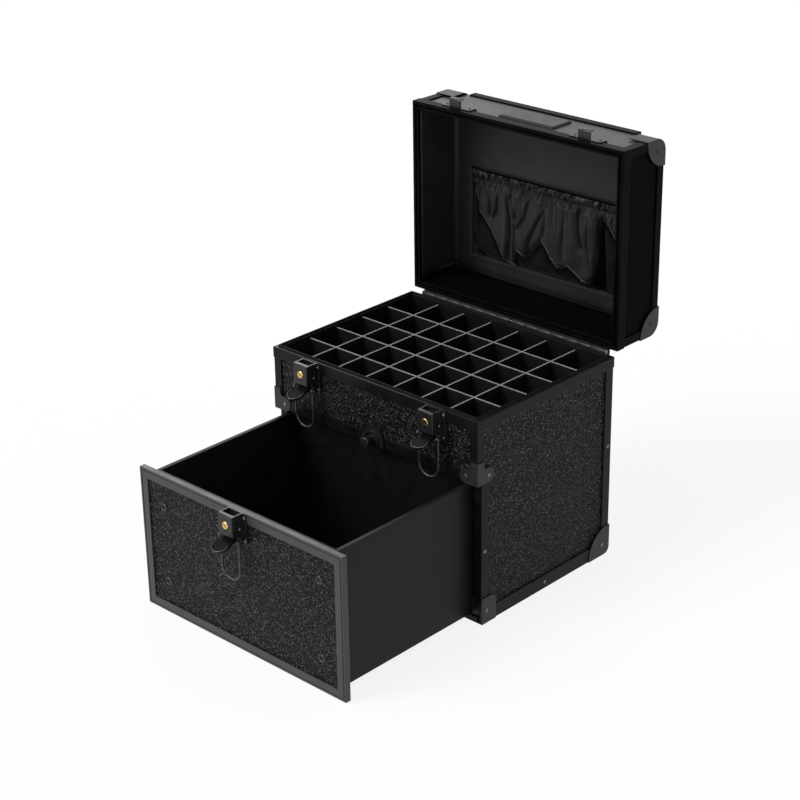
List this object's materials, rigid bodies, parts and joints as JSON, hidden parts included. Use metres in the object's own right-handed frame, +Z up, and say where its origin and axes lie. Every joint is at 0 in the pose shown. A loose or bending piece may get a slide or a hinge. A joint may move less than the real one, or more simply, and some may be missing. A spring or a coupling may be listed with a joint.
{
  "type": "nail polish case",
  "caption": "Hard case for nail polish: hinged lid with gathered pocket over a divided bottle tray, and a pull-out drawer below, held by draw latches with locks.",
  "frame": {"origin": "centre of the underside of the base", "axes": "+X to the right, +Y to the back, +Z up"},
  "size_m": [0.2922, 0.5238, 0.4645],
  "materials": {
    "crackle_board": "black crackle-faced board",
    "smooth_board": "smooth black board",
    "black_angle": "black anodised aluminium angle",
    "pressed_steel": "black coated pressed steel",
    "latch_steel": "black coated latch steel",
    "brass_lock": "turned brass",
    "drawer_frame": "satin charcoal aluminium",
    "drawer_board": "matt black board",
    "divider_foam": "black foam board with pale cut edges",
    "lining_fabric": "black woven lining",
    "pocket_fabric": "black gathered lining cloth",
    "name_plate": "glossy black plate",
    "handle_plastic": "moulded black plastic",
    "guide_strip": "dark stained batten"
  },
  "bodies": {
    "base": {"bottom_panel": "smooth_board", "left_side_panel": "crackle_board", "right_side_panel": "crackle_board", "back_panel": "crackle_board", "front_band_panel": "crackle_board", "tray_shelf": "smooth_board", "tray_liner": "smooth_board", "long_dividers": "divider_foam", "cross_dividers": "divider_foam", "top_rim": "black_angle", "vertical_edge_profiles": "black_angle", "bottom_edge_profiles": "black_angle", "band_lower_trim": "black_angle", "band_corner_brackets": "pressed_steel", "front_foot_brackets": "pressed_steel", "rear_corner_caps": "pressed_steel", "base_rivets": "latch_steel", "drawer_guides": "guide_strip", "drawer_stop": "guide_strip", "drawer_catch": "latch_steel", "hinge_fixed_leaves": "pressed_steel", "hinge_pins": "latch_steel", "band_latch_bodies": "latch_steel", "band_latch_pins": "latch_steel"},
    "lid": {"lid_top_panel": "smooth_board", "lid_front_panel": "smooth_board", "lid_back_panel": "smooth_board", "lid_side_panels": "smooth_board", "lid_rim": "black_angle", "lid_edge_profiles": "black_angle", "lid_corner_caps": "pressed_steel", "lid_catches": "latch_steel", "lid_name_plate": "name_plate", "lid_lining": "lining_fabric", "lid_pocket": "pocket_fabric", "hinge_lid_leaves": "pressed_steel", "handle_brackets": "latch_steel"},
    "drawer": {"drawer_front_panel": "crackle_board", "drawer_front_frame": "drawer_frame", "drawer_sides": "drawer_board", "drawer_back": "drawer_board", "drawer_inner_front": "drawer_board", "drawer_bottom": "drawer_board", "drawer_front_screws": "latch_steel", "drawer_latch_body": "latch_steel", "drawer_latch_pin": "latch_steel"},
    "handle": {"carry_handle": "handle_plastic"},
    "left_lock": {"left_lock_cylinder": "brass_lock"},
    "left_paddle": {"left_latch_paddle": "latch_steel"},
    "left_bail_carrier": {"left_bail_pin": "latch_steel"},
    "left_bail": {"left_latch_bail": "latch_steel"},
    "right_lock": {"right_lock_cylinder": "brass_lock"},
    "right_paddle": {"right_latch_paddle": "latch_steel"},
    "right_bail_carrier": {"right_bail_pin": "latch_steel"},
    "right_bail": {"right_latch_bail": "latch_steel"},
    "drawer_lock": {"drawer_lock_cylinder": "brass_lock"},
    "drawer_paddle": {"drawer_latch_paddle": "latch_steel"},
    "drawer_bail_carrier": {"drawer_bail_pin": "latch_steel"},
    "drawer_bail": {"drawer_latch_bail": "latch_steel"}
  },
  "joints": [
    {"name": "lid_hinge", "type": "hinge", "parent": "base", "child": "lid", "pos_m": [0, 0.113, 0.232], "axis": [-1, 0, 0], "range_deg": [-90, 0]},
    {"name": "drawer_slide", "type": "slide", "parent": "base", "child": "drawer", "axis": [0, -1, 0], "range_m": [-0.191, 0]},
    {"name": "handle_fold", "type": "hinge", "parent": "lid", "child": "handle", "pos_m": [0, 0.1878, 0.345], "axis": [1, 0, 0], "range_deg": [0, 180]},
    {"name": "left_lock_turn", "type": "hinge", "parent": "base", "child": "left_lock", "pos_m": [-0.0885, -0.124, 0.22], "axis": [0, -1, 0], "range_deg": [-90, 0]},
    {"name": "left_paddle_lift", "type": "hinge", "parent": "base", "child": "left_paddle", "pos_m": [-0.0885, -0.115, 0.205], "axis": [-1, 0, 0], "range_deg": [-62, 31]},
    {"name": "left_bail_pin_turn", "type": "hinge", "parent": "left_paddle", "child": "left_bail_carrier", "pos_m": [-0.0885, -0.1188, 0.20298], "axis": [-1, 0, 0], "range_deg": [-31, 62]},
    {"name": "left_bail_swing", "type": "hinge", "parent": "left_bail_carrier", "child": "left_bail", "pos_m": [-0.0885, -0.1188, 0.20298], "axis": [1, 0, 0], "range_deg": [-180, 0]},
    {"name": "right_lock_turn", "type": "hinge", "parent": "base", "child": "right_lock", "pos_m": [0.0885, -0.124, 0.22], "axis": [0, -1, 0], "range_deg": [-90, 0]},
    {"name": "right_paddle_lift", "type": "hinge", "parent": "base", "child": "right_paddle", "pos_m": [0.0885, -0.115, 0.205], "axis": [-1, 0, 0], "range_deg": [-62, 31]},
    {"name": "right_bail_pin_turn", "type": "hinge", "parent": "right_paddle", "child": "right_bail_carrier", "pos_m": [0.0885, -0.1188, 0.20298], "axis": [-1, 0, 0], "range_deg": [-31, 62]},
    {"name": "right_bail_swing", "type": "hinge", "parent": "right_bail_carrier", "child": "right_bail", "pos_m": [0.0885, -0.1188, 0.20298], "axis": [1, 0, 0], "range_deg": [-180, 0]},
    {"name": "drawer_lock_turn", "type": "hinge", "parent": "drawer", "child": "drawer_lock", "pos_m": [0, -0.315, 0.149], "axis": [0, -1, 0], "range_deg": [-90, 0]},
    {"name": "drawer_paddle_lift", "type": "hinge", "parent": "drawer", "child": "drawer_paddle", "pos_m": [0, -0.306, 0.134], "axis": [-1, 0, 0], "range_deg": [-62, 31]},
    {"name": "drawer_bail_pin_turn", "type": "hinge", "parent": "drawer_paddle", "child": "drawer_bail_carrier", "pos_m": [0, -0.3098, 0.13198], "axis": [-1, 0, 0], "range_deg": [-31, 62]},
    {"name": "drawer_bail_swing", "type": "hinge", "parent": "drawer_bail_carrier", "child": "drawer_bail", "pos_m": [0, -0.3098, 0.13198], "axis": [1, 0, 0], "range_deg": [-180, 0]}
  ],
  "couplings": [
    {"joint": "left_bail_pin_turn", "follows": "left_paddle_lift", "ratio": -1},
    {"joint": "right_bail_pin_turn", "follows": "right_paddle_lift", "ratio": -1},
    {"joint": "drawer_bail_pin_turn", "follows": "drawer_paddle_lift", "ratio": -1}
  ]
}
